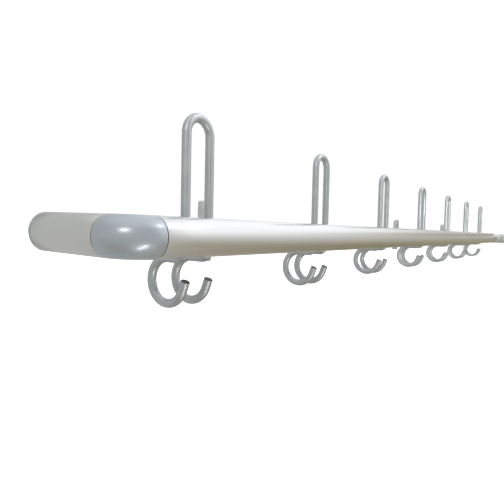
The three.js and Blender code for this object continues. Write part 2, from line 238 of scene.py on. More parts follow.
def plate_mesh(name, outline, holes, thick, bevel, res=3):
    """Flat plate with through holes and rounded edges; drawn in xy, thickness along z, centred."""
    cu = bpy.data.curves.new(name, "CURVE")
    cu.dimensions = "2D"
    cu.fill_mode = "BOTH"
    cu.extrude = thick / 2 - bevel
    cu.bevel_depth = bevel
    cu.bevel_resolution = res
    cu.offset = -bevel
    for pts in [outline, *holes]:
        sp = cu.splines.new("POLY")
        sp.points.add(len(pts) - 1)
        for p, (x, y) in zip(sp.points, pts):
            p.co = (x, y, 0, 1)
        sp.use_cyclic_u = True
    ob = bpy.data.objects.new(name, cu)
    scene.collection.objects.link(ob)
    me = evaluated(ob)
    bpy.data.objects.remove(ob)
    bm = bmesh.new()
    bm.from_mesh(me)
    bmesh.ops.remove_doubles(bm, verts=bm.verts, dist=1e-4)
    bmesh.ops.recalc_face_normals(bm, faces=bm.faces)
    bm.to_mesh(me)
    bm.free()
    return me


def mesh_object(name, me):
    ob = bpy.data.objects.new(name, me)
    scene.collection.objects.link(ob)
    return ob


def boolean(ob, others, op):
    for o in others:
        m = ob.modifiers.new("b", "BOOLEAN")
        m.operation = op
        m.object = o
        m.solver = "EXACT"
    me = evaluated(ob)
    ob.modifiers.clear()
    old = ob.data
    ob.data = me
    bpy.data.meshes.remove(old)
    bm = bmesh.new()
    bm.from_mesh(me)
    bmesh.ops.remove_doubles(bm, verts=bm.verts, dist=0.004)
    bmesh.ops.dissolve_degenerate(bm, edges=bm.edges, dist=0.004)
    bm.to_mesh(me)
    bm.free()
    for o in others:
        bpy.data.objects.remove(o)
    return ob


def copies(proto, names, offsets, slot, nodes=None, turn=None, weigh=True):
    """Own-mesh copies of a prototype in local mm, each put in the row frame, riding and replacing."""
    out = []
    for i, (name, off) in enumerate(zip(names, offsets)):
        me = proto.data.copy()
        me.name = name
        mat = Matrix.Translation(Vector(off)) @ (turn[i] if turn else Matrix.Identity(4))
        me.transform(mat)
        ob = mesh_object(name, me)
        to_world(ob)
        place(ob, nodes[i] if nodes else name, slot)
        if weigh:                                # large flats stay flat beside small rounds
            mod = ob.modifiers.new("weigh", "WEIGHTED_NORMAL")
            mod.mode = "FACE_AREA"
            mod.keep_sharp = True
        out.append(ob)
    bpy.data.objects.remove(proto)
    return out


def place(ob, node, slot):
    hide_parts(*([node] if isinstance(node, str) else node))
    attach(ob, "root")
    return ob


# ---------------------------------------------------------------- materials
def new_mat(name):
    m = bpy.data.materials.new(name)
    m.use_nodes = True
    nt = m.node_tree
    b = next(n for n in nt.nodes if n.type == "BSDF_PRINCIPLED")
    return m, nt, b


def coords(nt, scale, rot=(0, 0, 0)):
    tc = nt.nodes.new("ShaderNodeTexCoord")
    mp = nt.nodes.new("ShaderNodeMapping")
    mp.inputs["Scale"].default_value = scale
    mp.inputs["Rotation"].default_value = rot
    nt.links.new(tc.outputs["Object"], mp.inputs["Vector"])
    return mp.outputs["Vector"]


def noise(nt, vec, scale, detail=4.0, rough=0.55, distort=0.0):
    n = nt.nodes.new("ShaderNodeTexNoise")
    n.inputs["Scale"].default_value = scale
    n.inputs["Detail"].default_value = detail
    n.inputs["Roughness"].default_value = rough
    n.inputs["Distortion"].default_value = distort
    nt.links.new(vec, n.inputs["Vector"])
    return n.outputs["Fac"]


def ramp(nt, fac, stops):
    r = nt.nodes.new("ShaderNodeValToRGB")
    el = r.color_ramp.elements
    while len(el) < len(stops):
        el.new(0.5)
    for e, (p, c) in zip(el, stops):
        e.position = p
        e.color = (*c, 1.0) if len(c) == 3 else c
    nt.links.new(fac, r.inputs["Fac"])
    return r.outputs["Color"]


def maprange(nt, fac, lo, hi, a=0.0, b=1.0):
    m = nt.nodes.new("ShaderNodeMapRange")
    m.inputs["From Min"].default_value = a
    m.inputs["From Max"].default_value = b
    m.inputs["To Min"].default_value = lo
    m.inputs["To Max"].default_value = hi
    nt.links.new(fac, m.inputs["Value"])
    return m.outputs["Result"]


def math_node(nt, op, a, b):
    m = nt.nodes.new("ShaderNodeMath")
    m.operation = op
    for s, v in zip(m.inputs, (a, b)):
        if isinstance(v, (int, float)):
            s.default_value = v
        else:
            nt.links.new(v, s)
    return m.outputs[0]


def bump(nt, height, strength, dist, normal=None):
    b = nt.nodes.new("ShaderNodeBump")
    b.inputs["Strength"].default_value = strength
    b.inputs["Distance"].default_value = dist
    nt.links.new(height, b.inputs["Height"])
    if normal is not None:
        nt.links.new(normal, b.inputs["Normal"])
    return b.outputs["Normal"]


def edge_mask(nt, lo=0.53, hi=0.62):
    g = nt.nodes.new("ShaderNodeNewGeometry")
    return maprange(nt, g.outputs["Pointiness"], 0.0, 1.0, lo, hi)


def mix_color(nt, fac, a, b):
    m = nt.nodes.new("ShaderNodeMix")
    m.data_type = "RGBA"
    nt.links.new(fac, m.inputs["Factor"])
    for s, v in ((m.inputs["A"], a), (m.inputs["B"], b)):
        if isinstance(v, tuple):
            s.default_value = (*v, 1.0)
        else:
            nt.links.new(v, s)
    return m.outputs["Result"]


def anodised(name, stretch, r0=0.225, r1=0.29):
    """Satin natural anodising with the extrusion's fine drawn lines."""
    m, nt, b = new_mat(name)
    b.inputs["Metallic"].default_value = 1.0
    fine = noise(nt, coords(nt, stretch), 1.0, 5.0, 0.6)
    coarse = noise(nt, coords(nt, tuple(v * 0.16 for v in stretch)), 1.0, 3.0, 0.5)
    grain = noise(nt, coords(nt, (1, 1, 1)), 2600.0, 2.0, 0.5)
    cloud = noise(nt, coords(nt, (1, 1, 1)), 9.0, 3.0, 0.5)
    lines = math_node(nt, "ADD", math_node(nt, "MULTIPLY", fine, 0.6), math_node(nt, "MULTIPLY", coarse, 0.4))
    col = ramp(nt, lines, [(0.30, (0.760, 0.760, 0.750)), (0.70, (0.805, 0.805, 0.795))])
    tint = ramp(nt, cloud, [(0.35, (0.76, 0.765, 0.76)), (0.65, (0.80, 0.795, 0.78))])
    mixn = nt.nodes.new("ShaderNodeMix")
    mixn.data_type = "RGBA"
    mixn.inputs["Factor"].default_value = 0.4
    nt.links.new(col, mixn.inputs["A"])
    nt.links.new(tint, mixn.inputs["B"])
    nt.links.new(mixn.outputs["Result"], b.inputs["Base Color"])
    nt.links.new(maprange(nt, lines, r0, r1, 0.3, 0.7), b.inputs["Roughness"])
    n1 = bump(nt, lines, 0.10, 0.00004)
    n2 = bump(nt, grain, 0.05, 0.00002, n1)
    nt.links.new(n2, b.inputs["Normal"])
    return m


def rod_metal(name):
    """Satin silver rod: soft clear lacquer over drawn steel."""
    m, nt, b = new_mat(name)
    b.inputs["Metallic"].default_value = 1.0
    cloud = noise(nt, coords(nt, (1, 1, 1)), 60.0, 4.0, 0.55)
    grain = noise(nt, coords(nt, (1, 1, 1)), 2200.0, 3.0, 0.6)
    col = ramp(nt, cloud, [(0.32, (0.56, 0.585, 0.60)), (0.68, (0.63, 0.65, 0.66))])
    nt.links.new(col, b.inputs["Base Color"])
    nt.links.new(maprange(nt, math_node(nt, "ADD", math_node(nt, "MULTIPLY", cloud, 0.5), math_node(nt, "MULTIPLY", grain, 0.5)), 0.36, 0.48, 0.35, 0.65), b.inputs["Roughness"])
    nt.links.new(bump(nt, grain, 0.08, 0.00003), b.inputs["Normal"])
    return m


def silver_paint(name, lo, hi):
    """Moulding in glossy silver-blue paint: fine metal flake under a soft clear coat."""
    m, nt, b = new_mat(name)
    b.inputs["Metallic"].default_value = 0.55
    b.inputs["Coat Weight"].default_value = 0.6
    b.inputs["Coat Roughness"].default_value = 0.15
    cloud = noise(nt, coords(nt, (1, 1, 1)), 38.0, 4.0, 0.5)
    flake = noise(nt, coords(nt, (1, 1, 1)), 4200.0, 2.0, 0.6)
    base = ramp(nt, cloud, [(0.3, lo), (0.7, hi)])
    fl = ramp(nt, flake, [(0.35, tuple(c * 0.93 for c in lo)), (0.68, tuple(min(1.0, c * 1.08) for c in hi))])
    mixn = nt.nodes.new("ShaderNodeMix")
    mixn.data_type = "RGBA"
    mixn.inputs["Factor"].default_value = 0.45
    nt.links.new(base, mixn.inputs["A"])
    nt.links.new(fl, mixn.inputs["B"])
    nt.links.new(mixn.outputs["Result"], b.inputs["Base Color"])
    nt.links.new(maprange(nt, cloud, 0.27, 0.35, 0.3, 0.7), b.inputs["Roughness"])
    nt.links.new(bump(nt, flake, 0.03, 0.00002), b.inputs["Normal"])
    return m


def cut_steel(name):
    """Sawn rod end: dark, dull, with coarse saw marks."""
    m, nt, b = new_mat(name)
    b.inputs["Metallic"].default_value = 0.7
    saw = noise(nt, coords(nt, (300, 4200, 300)), 1.0, 3.0, 0.6)
    cloud = noise(nt, coords(nt, (1, 1, 1)), 420.0, 3.0, 0.5)
    nt.links.new(ramp(nt, cloud, [(0.3, (0.085, 0.085, 0.083)), (0.7, (0.15, 0.15, 0.147))]), b.inputs["Base Color"])
    nt.links.new(maprange(nt, saw, 0.45, 0.65, 0.3, 0.7), b.inputs["Roughness"])
    nt.links.new(bump(nt, saw, 0.3, 0.00006), b.inputs["Normal"])
    return m


def matt_plastic(name, lo, hi):
    m, nt, b = new_mat(name)
    cloud = noise(nt, coords(nt, (1, 1, 1)), 70.0, 4.0, 0.5)
    spark = noise(nt, coords(nt, (1, 1, 1)), 1400.0, 3.0, 0.6)
    base = ramp(nt, cloud, [(0.3, lo), (0.7, hi)])
    col = mix_color(nt, edge_mask(nt), base, tuple(min(1.0, c * 1.7) for c in hi))
    nt.links.new(col, b.inputs["Base Color"])
    nt.links.new(maprange(nt, spark, 0.45, 0.65, 0.3, 0.7), b.inputs["Roughness"])
    nt.links.new(bump(nt, spark, 0.25, 0.00008), b.inputs["Normal"])
    return m


def powder(name, lo, hi):
    m, nt, b = new_mat(name)
    b.inputs["Metallic"].default_value = 0.65
    cloud = noise(nt, coords(nt, (1, 1, 1)), 50.0, 4.0, 0.5)
    peel = noise(nt, coords(nt, (1, 1, 1)), 700.0, 2.0, 0.5)
    nt.links.new(ramp(nt, cloud, [(0.3, lo), (0.7, hi)]), b.inputs["Base Color"])
    nt.links.new(maprange(nt, peel, 0.38, 0.52, 0.3, 0.7), b.inputs["Roughness"])
    nt.links.new(bump(nt, peel, 0.18, 0.0001), b.inputs["Normal"])
    return m


def zinc_metal(name):
    m, nt, b = new_mat(name)
    b.inputs["Metallic"].default_value = 1.0
    cloud = noise(nt, coords(nt, (1, 1, 1)), 260.0, 4.0, 0.55)
    fine = noise(nt, coords(nt, (1, 1, 1)), 1900.0, 3.0, 0.6)
    base = ramp(nt, cloud, [(0.3, (0.56, 0.58, 0.60)), (0.7, (0.70, 0.70, 0.69))])
    col = mix_color(nt, edge_mask(nt), base, (0.86, 0.86, 0.85))
    nt.links.new(col, b.inputs["Base Color"])
    nt.links.new(maprange(nt, cloud, 0.24, 0.40, 0.3, 0.7), b.inputs["Roughness"])
    nt.links.new(bump(nt, fine, 0.12, 0.00004), b.inputs["Normal"])
    return m


MAT_X = anodised("anodised_long", (2.2, 1500.0, 1500.0))
MAT_Y = anodised("anodised_cross", (1500.0, 2.2, 1500.0))
MAT_CORNER_AL = anodised("anodised_corner", (260.0, 260.0, 900.0), 0.38, 0.50)
MAT_ROD = rod_metal("satin_rod")
MAT_CAP = silver_paint("corner_moulding", (0.50, 0.545, 0.59), (0.545, 0.59, 0.63))
# near-black tongue colour: painted shade that darkens the seam gaps between the corner mouldings and the rails
MAT_SEAM_SHADE = matt_plastic("corner_tongue_seam_shade", (0.018, 0.019, 0.020), (0.028, 0.029, 0.031))
MAT_CUT = cut_steel("sawn_end")
MAT_CLAMP = matt_plastic("clamp_moulding", (0.085, 0.090, 0.096), (0.110, 0.116, 0.122))
MAT_BRACKET = powder("bracket_paint", (0.67, 0.70, 0.705), (0.75, 0.77, 0.775))
MAT_ZINC = zinc_metal("zinc_plate")

# ---------------------------------------------------------------- rails
place(extrusion("rail_long", along_x, MAIN_X0, MAIN_X1, [MAT_X]), "main_rail", "anodised")
place(extrusion("rail_return", along_ret, RET_D0, RET_D1, [MAT_Y]), "return_rail", "anodised")
place(extrusion("rail_side", along_side, SIDE_D0, SIDE_D1, [MAT_Y]), "side_rail", "anodised")


# ---------------------------------------------------------------- corners
def corner(name, place_fn_a, place_fn_b, sweep, node, slot, mats, steps=40, e=0.45):
    """Swept D between two seams with a broken edge at each, and a tongue beyond each seam."""
    rings = []
    # first tongue, from its free end to the seam
    tip, _ = round_stations(0, 1, 0.6, 3)
    for u, k in tip:
        rings.append([place_fn_a(TONGUE - u, d, z) for d, z in d_loop(PLUG["off"] + k, PLUG["back"] - k)])
    rings.append([place_fn_a(0.0, d, z) for d, z in d_loop(**PLUG)])
    ring_e, _ = round_stations(0, 1, e, 4)
    for u, k in ring_e:
        rings.append([sweep(u, 0, d, z) for d, z in d_loop(k)])
    for i in range(1, steps):
        rings.append([sweep(None, i / steps, d, z) for d, z in d_loop(0)])
    for u, k in reversed(ring_e):
        rings.append([sweep(u, 1, d, z) for d, z in d_loop(k)])
    rings.append([place_fn_b(0.0, d, z) for d, z in d_loop(**PLUG)])
    for u, k in reversed(tip):
        rings.append([place_fn_b(TONGUE - u, d, z) for d, z in d_loop(PLUG["off"] + k, PLUG["back"] - k)])
    ob = finish_mesh(name, skin(rings), mats)
    if len(mats) > 1:                        # the visible sweep gets the cap paint; the tongues and the seam rings get a near-black colour, painted shade in the seam gaps
        n, first = len(d_loop()), len(tip)
        last = len(rings) - 2 - first
        for f in ob.data.polygons[:n * (len(rings) - 1)]:
            k = f.index // n
            if k <= first or k >= last:
                f.material_index = 1
        for f in ob.data.polygons[n * (len(rings) - 1):]:
            f.material_index = 1
    return place(ob, node, slot)


def outer_sweep(u, f, d, z):
    # centre of the sweep at (CORNER_R, CORNER_R); f 0 at the return's seam, 1 at the long rail's
    r = CORNER_R - d
    if u is None:
        a = math.pi / 2 * f
    else:
        a = u / CORNER_R if f == 0 else math.pi / 2 - u / CORNER_R
    return P(CORNER_R - r * math.cos(a), CORNER_R - r * math.sin(a), z)


corner("corner_outer", lambda u, d, z: along_ret(CORNER_R + u, d, z), lambda u, d, z: along_x(CORNER_R + u, d, z),
       outer_sweep, "outer_corner", "corner_plastic", [MAT_CAP, MAT_SEAM_SHADE], steps=56, e=0.6)


def inner_sweep(u, f, d, z):
    # centre at (SIDE_X - INNER_R, -INNER_R); f 0 at the long rail's seam, 1 at the side rail's
    r = INNER_R + d
    if u is None:
        a = math.pi / 2 * f
    else:
        w = u / (INNER_R + DEPTH / 2)
        a = w if f == 0 else math.pi / 2 - w
    return P(SIDE_X - INNER_R + r * math.sin(a), -INNER_R + r * math.cos(a), z)


corner("corner_inner", lambda u, d, z: along_x(SIDE_X - INNER_R - u, d, z), lambda u, d, z: along_side(-INNER_R - u, d, z),
       inner_sweep, "inner_corner", "anodised", [MAT_CORNER_AL], steps=40, e=0.3)

# ---------------------------------------------------------------- foot on the wall, end cap
def foot():
    seg = len(d_loop())
    cx, cz, hr = NOSE - 2, 0.0, 2.6
    base = d_loop()
    ang = [math.atan2(z - cz, d - cx) for d, z in base]
    circ = [(cx + hr * math.cos(a), cz + hr * math.sin(a)) for a in ang]
    rings = []
    yb, yf = WALL_D, RET_D1 + GAP        # wall plane, flange front
    rings.append([along_ret(yb, d, z) for d, z in circ])
    _, back = round_stations(0, yb, 0.5, 4)
    for u, k in reversed(back):
        rings.append([along_ret(u, d, z) for d, z in d_loop(k)])
    front, _ = round_stations(yf, yb, 0.35, 4)
    for u, k in reversed(front):
        rings.append([along_ret(u, d, z) for d, z in d_loop(k)])
    rings.append([along_ret(yf, d, z) for d, z in d_loop(**PLUG)])
    tip, _ = round_stations(0, 1, 0.5, 3)
    for u, k in reversed(tip):
        rings.append([along_ret(yf - TONGUE + u, d, z) for d, z in d_loop(PLUG["off"] + k, PLUG["back"] - k)])
    off2, back2 = PLUG["off"] + 2.0, PLUG["back"] - 2.0
    rings.append([along_ret(yf - TONGUE, d, z) for d, z in d_loop(off2, back2)])
    rings.append([along_ret(yb - 5.2, d, z) for d, z in d_loop(off2, back2)])
    rings.append([along_ret(yb - 5.2, d, z) for d, z in circ])
    place(finish_mesh("foot_moulding", skin(rings, closed=True), [MAT_CAP]), "return_foot", "corner_plastic")


foot()


def end_cap():
    rings = []
    u0, u1 = SIDE_D0 - GAP - 3.0, SIDE_D0 - GAP     # outer face, seam face
    dish = [(0.55, 2.6), (0.50, 1.9), (0.30, 1.45)]
    for dz, k in dish:                               # shallow dished face
        rings.append([along_side(u0 + dz, d, z) for d, z in d_loop(k)])
    a, b = round_stations(u0, u1, 0.8, 5)
    rings.append([along_side(u0 + 0.06, d, z) for d, z in d_loop(1.05)])
    for u, k in a:
        rings.append([along_side(u, d, z) for d, z in d_loop(k)])
    a2, b2 = round_stations(u0, u1, 0.3, 3)
    for u, k in b2:
        rings.append([along_side(u, d, z) for d, z in d_loop(k)])
    rings.append([along_side(u1, d, z) for d, z in d_loop(**PLUG)])
    tip, _ = round_stations(0, 1, 0.5, 3)
    for u, k in reversed(tip):
        rings.append([along_side(u1 + TONGUE - u, d, z) for d, z in d_loop(PLUG["off"] + k, PLUG["back"] - k)])
    place(finish_mesh("end_moulding", skin(rings), [MAT_CAP]), "side_end_cap", "corner_plastic")


end_cap()

# ---------------------------------------------------------------- hooks
ROD_R, LEG_GAP, LEG_AT, LOOP_TOP, LEAN = 4.5, 32.0, 31.0, 116.0, math.radians(1.2)
CURL_R, CURL_AT, CURL_Z, BEND_R, TIP_CUT, TIP_LEN = 21.9, 53.0, -42.8, 8.0, 20.0, 10.0
FIRST_HOOK, PITCH, HOOKS = 108.3, 250.0, 7


def hook_proto():
    rad = math.radians
    pts = []                      # (position, tangent, kind)
    x = LEG_GAP / 2
    cy = lambda a: CURL_AT - CURL_R * math.cos(rad(a))
    cz = lambda a: CURL_Z - CURL_R * math.sin(rad(a))
    tg = lambda a: Vector((0, math.sin(rad(a)), -math.cos(rad(a))))
    t0 = tg(TIP_CUT)
    p0 = Vector((x, cy(TIP_CUT), cz(TIP_CUT)))
    e = 0.9
    tip = [(p0 - t0 * (TIP_LEN - e * (1 - math.cos(rad(b)))), t0, "c", ROD_R - e * (1 - math.sin(rad(b)))) for b in (0, 18, 36, 54, 72, 90)]
    pts += tip
    for i in range(1, 4):
        pts.append((p0 - t0 * ((TIP_LEN - e) * (1 - i / 4)), t0, "c", ROD_R))
    n = 84
    for i in range(n + 1):
        a = TIP_CUT + (270 - TIP_CUT) * i / n
        pts.append((Vector((x, cy(a), cz(a))), tg(a), "c", ROD_R))
    zr = CURL_Z + CURL_R
    n = 18
    for i in range(n + 1):
        b = (math.pi / 2 - LEAN) * i / n
        pts.append((Vector((x, LEG_AT + BEND_R - BEND_R * math.sin(b), zr + BEND_R - BEND_R * math.cos(b))), Vector((0, -math.cos(b), math.sin(b))), "c", ROD_R))
    r = LEG_GAP / 2
    zu = LOOP_TOP - ROD_R - r
    y0, z0, k = pts[-1][0].y, pts[-1][0].z, math.tan(LEAN)
    for i in range(1, 12):
        z = z0 + (zu - z0) * i / 12
        pts.append((Vector((x, y0 + (z - z0) * k, z)), Vector((0, k, 1)).normalized(), "c", ROD_R))
    n = 36
    for i in range(n + 1):
        b = rad(90 * i / n)
        z = zu + r * math.sin(b)
        pts.append((Vector((r * math.cos(b), y0 + (z - z0) * k, z)), Vector((-math.sin(b), math.cos(b) * k, math.cos(b))).normalized(), "u", ROD_R))
    for p, t, k, q in list(reversed(pts[:-1])):
        pts.append((Vector((-p.x, p.y, p.z)), Vector((t.x, -t.y, -t.z)), k, q))
    segs = 40
    rings = []
    half = len(pts) // 2
    for i, (p, t, k, q) in enumerate(pts):
        if k == "u":
            e2 = Vector((0, 1, -math.tan(LEAN))).normalized()
            e2 = (e2 - t * e2.dot(t)).normalized()
            e1 = e2.cross(t)
        else:
            e1 = Vector((1 if i < half else -1, 0, 0))
            e2 = t.cross(e1)
        rings.append([p + e1 * (q * math.cos(2 * math.pi * j / segs)) + e2 * (q * math.sin(2 * math.pi * j / segs)) for j in range(segs)])
    ob = finish_mesh("hook_proto", skin(rings), [MAT_ROD, MAT_CUT])
    tips = [pts[0][0], pts[-1][0]]
    for f in ob.data.polygons:               # the sawn ends, rounded edge included
        c = f.center
        for tip, t in ((tips[0], pts[0][1]), (tips[1], -pts[-1][1])):
            if (c - tip).length < ROD_R * 1.3 and (c - tip).dot(t) < 0.55:
                f.material_index = 1
    return ob


HX = [FIRST_HOOK + i * PITCH for i in range(HOOKS)]
copies(hook_proto(), [f"rod_hook_{i + 1}" for i in range(HOOKS)], [(x, 0, 0) for x in HX], "rod",
       nodes=[f"hook_{i + 1}" for i in range(HOOKS)], weigh=False)


# ---------------------------------------------------------------- clamps
def circle(cx, cy, r, n=40):
    return [(cx + r * math.cos(2 * math.pi * i / n), cy + r * math.sin(2 * math.pi * i / n)) for i in range(n)]


def round_rect(cx, cy, w, h, r, n=8):
    return (arc(cx + w / 2 - r, cy + h / 2 - r, r, 0, 90, n) + arc(cx - w / 2 + r, cy + h / 2 - r, r, 90, 180, n)
            + arc(cx - w / 2 + r, cy - h / 2 + r, r, 180, 270, n) + arc(cx + w / 2 - r, cy - h / 2 + r, r, 270, 360, n))


def slot_loop(cx, cy, w, h, n=12):
    r = w / 2
    k = h / 2 - r
    return arc(cx, cy + k, r, 0, 180, n) + arc(cx, cy - k, r, 180, 360, n)


FACE_Y = Matrix(((1, 0, 0, 0), (0, 0, -1, 0), (0, 1, 0, 0), (0, 0, 0, 1)))   # xy plate -> xz, thickness along y


CLAMP_Y = (29.8, 39.6)
GRIP_AT = LEG_AT - (CURL_Z + CURL_R + BEND_R) * math.tan(LEAN)


def clamp_proto():
    y0, y1 = CLAMP_Y
    me = plate_mesh("clamp", round_rect(0, 0, 51, 22, 3), [circle(0, 0, 3.35)], y1 - y0, 0.7)
    me.transform(Matrix.Translation((0, (y0 + y1) / 2, 0)) @ FACE_Y)
    ob = mesh_object("clamp_proto", me)
    cuts = []
    for s in (-1, 1):
        prof = []
        rr = ROD_R + 0.4
        cxx, cyy = s * LEG_GAP / 2, GRIP_AT
        ring = [(cxx + rr * math.cos(math.radians(a)), cyy + rr * math.sin(math.radians(a))) for a in range(0, 181, 5)]
        ring += [(cxx - rr, cyy - 8), (cxx + rr, cyy - 8)]
        bm = skin([[Vector((a, b, z)) for a, b in ring] for z in (-14, 14)])
        cuts.append(finish_mesh("cut", bm, []))
    boolean(ob, cuts, "DIFFERENCE")
    ob.data.materials.clear()
    ob.data.materials.append(MAT_CLAMP)
    shade(ob.data, 32)
    keep_flats(ob.data)
    return ob


copies(clamp_proto(), [f"clamp_block_{i + 1}" for i in range(HOOKS)], [(x, 0, 0) for x in HX], "clamp_plastic",
       nodes=[f"hook_clamp_{i + 1}" for i in range(HOOKS)])


# ---------------------------------------------------------------- fasteners
def hex_bolt(seat, end):
    """Flanged hex bolt along the depth axis, head toward the wall, seat under the flange."""
    n = 48
    def circ(r, y):
        return [Vector((r * math.cos(2 * math.pi * i / n), y, r * math.sin(2 * math.pi * i / n))) for i in range(n)]
    def hexr(i, R):
        a = (2 * math.pi * i / n) % (math.pi / 3)
        return R * math.cos(math.pi / 6) / math.cos(a - math.pi / 6)
    def hexa(R, y_of):
        out = []
        for i in range(n):
            a = 2 * math.pi * i / n
            r = hexr(i, R)
            out.append(Vector((r * math.cos(a), y_of(r), r * math.sin(a))))
        return out
    shank = []
    turns = int((seat - end - 1.5) / 1.0)
    shank += [circ(2.1, end), circ(2.55, end + 0.5)]
    y = end + 0.5
    while y + 1.0 < seat - 1.0:                  # rolled thread as shallow rings
        shank += [circ(2.58, y + 0.12), circ(2.98, y + 0.48), circ(2.98, y + 0.58), circ(2.58, y + 0.92)]
        y += 1.0
    shank += [circ(2.6, seat - 0.6), circ(2.6, seat)]
    head = [circ(5.9, seat), circ(6.2, seat + 0.25), circ(6.2, seat + 0.8), circ(5.95, seat + 1.1), circ(5.75, seat + 1.35)]
    top = seat + 5.2
    head += [hexa(5.7, lambda r: seat + 1.4), hexa(5.7, lambda r: top - 0.12 - (r - 4.75) * 0.55)]
    head += [circ(4.75, top - 0.05), circ(4.5, top), circ(3.2, top), circ(2.9, top - 0.25)]
    return finish_mesh("bolt_proto", skin(shank + head), [MAT_ZINC], smooth=28)


def pan_screw():
    """Pan head with a cross recess; origin on the wall plane, head toward the room (local -y)."""
    t = 8.0 + GAP                        # under the head, from the wall plane
    prof = [(2.1, -GAP), (2.1, -t), (4.75, -t), (5.0, -t - 0.2), (5.0, -t - 0.65), (4.9, -t - 1.1), (4.55, -t - 1.6),
            (4.0, -t - 2.1), (3.2, -t - 2.5), (2.3, -t - 2.78), (1.3, -t - 2.95), (0.5, -t - 3.0)]
    ob = finish_mesh("screw_proto", lathe(prof, (0, 0, 0), segs=56), [MAT_ZINC])
    cuts = []
    for a in (0, 1):
        w, l, dp = 1.05, 4.7, 1.9
        x0, z0 = (l / 2, w / 2) if a else (w / 2, l / 2)
        x1, z1 = (l / 2 * 0.55, w / 2 * 0.7) if a else (w / 2 * 0.7, l / 2 * 0.55)
        r0 = [Vector((sx * x0, -t - 3.4, sz * z0)) for sx, sz in ((-1, -1), (1, -1), (1, 1), (-1, 1))]
        r1 = [Vector((sx * x1, -t - 3.0 + dp, sz * z1)) for sx, sz in ((-1, -1), (1, -1), (1, 1), (-1, 1))]
        cuts.append(finish_mesh("cut", skin([r0, r1]), []))
    boolean(ob, cuts, "DIFFERENCE")
    ob.data.materials.clear()
    ob.data.materials.append(MAT_ZINC)
    shade(ob.data, 32)
    return ob


ARM_T = 5.5
TAB_SEAT = DEPTH + GAP + ARM_T + GAP
copies(hex_bolt(CLAMP_Y[1] + GAP, 17.0), [f"hex_bolt_hook_{i + 1}" for i in range(HOOKS)], [(x, 0, 0) for x in HX], "zinc",
       nodes=[f"clamp_bolt_{i + 1}" for i in range(HOOKS)])

BR = [FIRST_HOOK + k for k in (121.7, 875.0, 1371.7)]
TURN = Matrix(((0, 1, 0, 0), (-1, 0, 0, 0), (0, 0, 1, 0), (0, 0, 0, 1)))      # depth -> +X, along -> -Y
SIDE_BRACKET = 150.0
off4 = [(x, 0, 0) for x in BR] + [(SIDE_X, -SIDE_BRACKET, 0)]
turn4 = [Matrix.Identity(4)] * 3 + [TURN]
copies(hex_bolt(TAB_SEAT, 17.0), [f"hex_bolt_bracket_{i + 1}" for i in range(4)], off4, "zinc",
       nodes=[f"bracket_bolt_{i + 1}" for i in range(4)], turn=turn4)

# slot nuts: the CAD blocks, edges broken, plated
for name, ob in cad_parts.items():
    if "_nut_" in name:
        ob.data.materials.clear()
        ob.data.materials.append(MAT_ZINC)
        mod = ob.modifiers.new("edges", "BEVEL")
        mod.width = 0.0004
        mod.segments = 2
        mod.limit_method = "ANGLE"
        mod.angle_limit = math.radians(40)

# ---------------------------------------------------------------- wall brackets
BRK_W, BRK_T, BRK_H, BRK_UP, ARM_Z, TAB_TOP = 21.0, 8.0, 78.5, 3.0, -16.0, 12.0


def bracket_proto():
    yf = DEPTH + GAP
    yp = WALL_D - BRK_T
    zb, zt = ARM_Z, ARM_Z + ARM_T
    side = [(yf, TAB_TOP - 2), *[(yf + 2 - 2 * math.cos(math.radians(a)), TAB_TOP - 2 + 2 * math.sin(math.radians(a))) for a in (30, 60, 90)],
            *[(yf + ARM_T - 2 + 2 * math.sin(math.radians(a)), TAB_TOP - 2 + 2 * math.cos(math.radians(a))) for a in (0, 30, 60, 90)],
            *arc(yf + ARM_T + 1.5, zt + 1.5, 1.5, 180, 270, 6),
            (yp - 3, zt), *[(yp - 3 + 3 * math.sin(math.radians(a)), zt + 3 - 3 * math.cos(math.radians(a))) for a in (20, 40, 60, 80)], (yp, zt + 3),
            (yp + 1.6, zt + 3), (yp + 1.6, zb - 3), (yp, zb - 3),
            *[(yp - 3 + 3 * math.sin(math.radians(a)), zb - 3 + 3 * math.cos(math.radians(a))) for a in (80, 60, 40, 20)], (yp - 3, zb),
            *arc(yf + 6, zb + 6, 6, 270, 180, 12)]
    me = plate_mesh("arm", side, [], BRK_W, 0.5)
    # drawn (depth, height), thickness along x
    me.transform(Matrix(((0, 0, 1, 0), (1, 0, 0, 0), (0, 1, 0, 0), (0, 0, 0, 1))))
    arm = mesh_object("arm", me)
    bore = finish_mesh("bore", skin([[Vector((3.35 * math.cos(2 * math.pi * i / 40), y, 3.35 * math.sin(2 * math.pi * i / 40))) for i in range(40)] for y in (yf - 3, yf + ARM_T + 3)]), [])
    boolean(arm, [bore], "DIFFERENCE")
    pm = plate_mesh("plate", round_rect(0, BRK_UP, BRK_W, BRK_H, 3.5),
                    [slot_loop(0, BRK_UP + 29, 6.6, 17), slot_loop(0, BRK_UP - 29, 6.6, 17)], BRK_T, 0.5)
    pm.transform(Matrix.Translation((0, yp + BRK_T / 2, 0)) @ FACE_Y)
    plate = mesh_object("plate", pm)
    boolean(plate, [arm], "UNION")
    plate.data.materials.clear()
    plate.data.materials.append(MAT_BRACKET)
    shade(plate.data, 32)
    keep_flats(plate.data)
    return plate


copies(bracket_proto(), [f"bracket_{i + 1}" for i in range(4)], off4, "bracket_steel",
       nodes=[f"wall_bracket_{i + 1}" for i in range(4)], turn=turn4)

